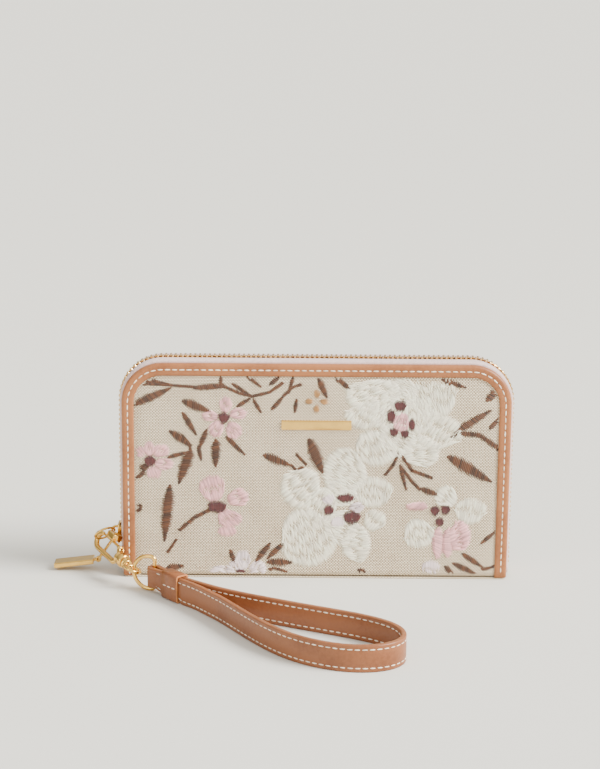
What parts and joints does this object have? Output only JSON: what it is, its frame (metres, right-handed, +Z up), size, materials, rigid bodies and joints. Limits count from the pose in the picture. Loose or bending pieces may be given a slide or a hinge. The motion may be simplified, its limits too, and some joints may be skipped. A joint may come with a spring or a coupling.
{
  "type": "wristlet wallet",
  "caption": "Zip-around long wallet in canvas with leather edges, coin pocket, card slots and a clip-on wrist strap.",
  "frame": {"origin": "centre of the flat underside of the spine, on the surface the wallet stands on", "axes": "+X to the wallet's right as seen from the front cover, +Y from the front cover to the back cover, +Z up to the zip"},
  "size_m": [0.2291, 0.1495, 0.1112],
  "materials": {
    "canvas": "woven, matte",
    "leather": "smooth satin",
    "board": "matte",
    "lining": "matte",
    "tape": "matte",
    "gold": "polished light gold"
  },
  "bodies": {
    "front_half": {"front_leather_trim": "leather", "front_canvas": "canvas", "front_board": "board", "front_lining": "lining", "front_plate": "gold", "plate_washer_left": "gold", "plate_washer_right": "gold", "spine_canvas": "canvas", "spine_board": "board", "front_zip_tape": "tape", "front_zip_teeth": "gold", "zip_stop_left": "gold", "zip_stop_right": "gold", "front_card_slot_1": "leather", "front_card_slot_2": "leather", "front_card_slot_3": "leather", "front_gusset_left": "lining", "front_gusset_right": "lining"},
    "back_half": {"back_leather_trim": "leather", "back_canvas": "canvas", "back_board": "board", "back_lining": "lining", "back_zip_tape": "tape", "back_zip_teeth": "gold", "back_card_slot_1": "leather", "back_card_slot_2": "leather", "back_card_slot_3": "leather", "back_gusset_left": "lining", "back_gusset_right": "lining"},
    "coin_pocket": {"coin_wall_front": "lining", "coin_wall_back": "lining", "coin_edge": "lining", "coin_tape_front": "tape", "coin_tape_back": "tape", "coin_teeth": "gold"},
    "coin_zip_slider": {"coin_slider": "gold", "coin_slider_loop": "gold"},
    "coin_puller": {"coin_pull_tab": "gold"},
    "zip_slider": {"slider_body": "gold", "slider_bridge": "gold"},
    "slider_ring": {"thin_ring": "gold"},
    "puller_link": {"long_link": "gold"},
    "puller": {"bar_puller": "gold"},
    "clasp": {"clasp_body": "gold", "clasp_pin": "gold"},
    "lever": {"clasp_lever": "gold"},
    "swivel": {"swivel_stem": "gold", "swivel_eye": "gold"},
    "strap_ring": {"d_ring": "gold"},
    "strap": {"wrist_strap": "leather", "strap_keeper": "leather"}
  },
  "joints": [
    {"name": "cover_open", "type": "hinge", "parent": "front_half", "child": "back_half", "pos_m": [0, 0.0125, 0.001], "axis": [-1, 0, 0], "range_deg": [0, 75], "deforming": ["back_gusset_left", "back_gusset_right", "front_gusset_left", "front_gusset_right"]},
    {"name": "coin_tilt", "type": "hinge", "parent": "front_half", "child": "coin_pocket", "pos_m": [0, 0, 0.0027], "axis": [-1, 0, 0], "range_deg": [0, 37.5]},
    {"name": "zip_travel", "type": "slide", "parent": "front_half", "child": "zip_slider", "axis": [0, 0, 1], "range_m": [0, 0.066], "deforming": ["front_zip_teeth", "back_zip_teeth"]},
    {"name": "coin_zip_travel", "type": "slide", "parent": "coin_pocket", "child": "coin_zip_slider", "axis": [1, 0, 0], "range_m": [0, 0.144], "deforming": ["coin_teeth"]},
    {"name": "coin_puller_swing", "type": "hinge", "parent": "coin_zip_slider", "child": "coin_puller", "pos_m": [-0.072, 0, 0.0933], "axis": [0, 1, 0], "range_deg": [0, 90]},
    {"name": "thin_ring_swing", "type": "hinge", "parent": "zip_slider", "child": "slider_ring", "pos_m": [-0.10089, -0.00001, 0.02035], "axis": [-0.1484, 0.7131, -0.6852], "range_deg": [-2, 5]},
    {"name": "puller_link_swing", "type": "hinge", "parent": "zip_slider", "child": "puller_link", "pos_m": [-0.10035, 0, 0.0179], "axis": [0, 1, 0], "range_deg": [-2, 5]},
    {"name": "bar_swing", "type": "hinge", "parent": "puller_link", "child": "puller", "pos_m": [-0.1093, 0, 0.0052], "axis": [0, 1, 0], "range_deg": [-15, 60]},
    {"name": "clasp_swing", "type": "hinge", "parent": "slider_ring", "child": "clasp", "pos_m": [-0.10896, 0, 0.016], "axis": [-0.7233, -0.5822, 0.3713], "range_deg": [-2, 5]},
    {"name": "lever_press", "type": "hinge", "parent": "clasp", "child": "lever", "pos_m": [-0.09663, -0.01525, 0.01609], "axis": [0.7233, 0.5822, -0.3713], "range_deg": [0, 5], "stiffness_Nm_per_rad": 0.01, "springref_deg": -14.32},
    {"name": "clasp_swivel", "type": "hinge", "parent": "clasp", "child": "swivel", "pos_m": [-0.0886, -0.0296, 0.00925], "axis": [0.557, -0.8097, -0.1847], "continuous": true},
    {"name": "strap_ring_swing", "type": "hinge", "parent": "swivel", "child": "strap_ring", "pos_m": [-0.0886, -0.0296, 0.00925], "axis": [0, 0, 1], "range_deg": [-30, 15]},
    {"name": "strap_swing", "type": "hinge", "parent": "strap_ring", "child": "strap", "pos_m": [-0.07817, -0.03311, 0.00925], "axis": [0, 0, 1], "range_deg": [-30, 15]}
  ],
  "couplings": [
    {"joint": "coin_tilt", "follows": "cover_open", "ratio": 0.5}
  ]
}
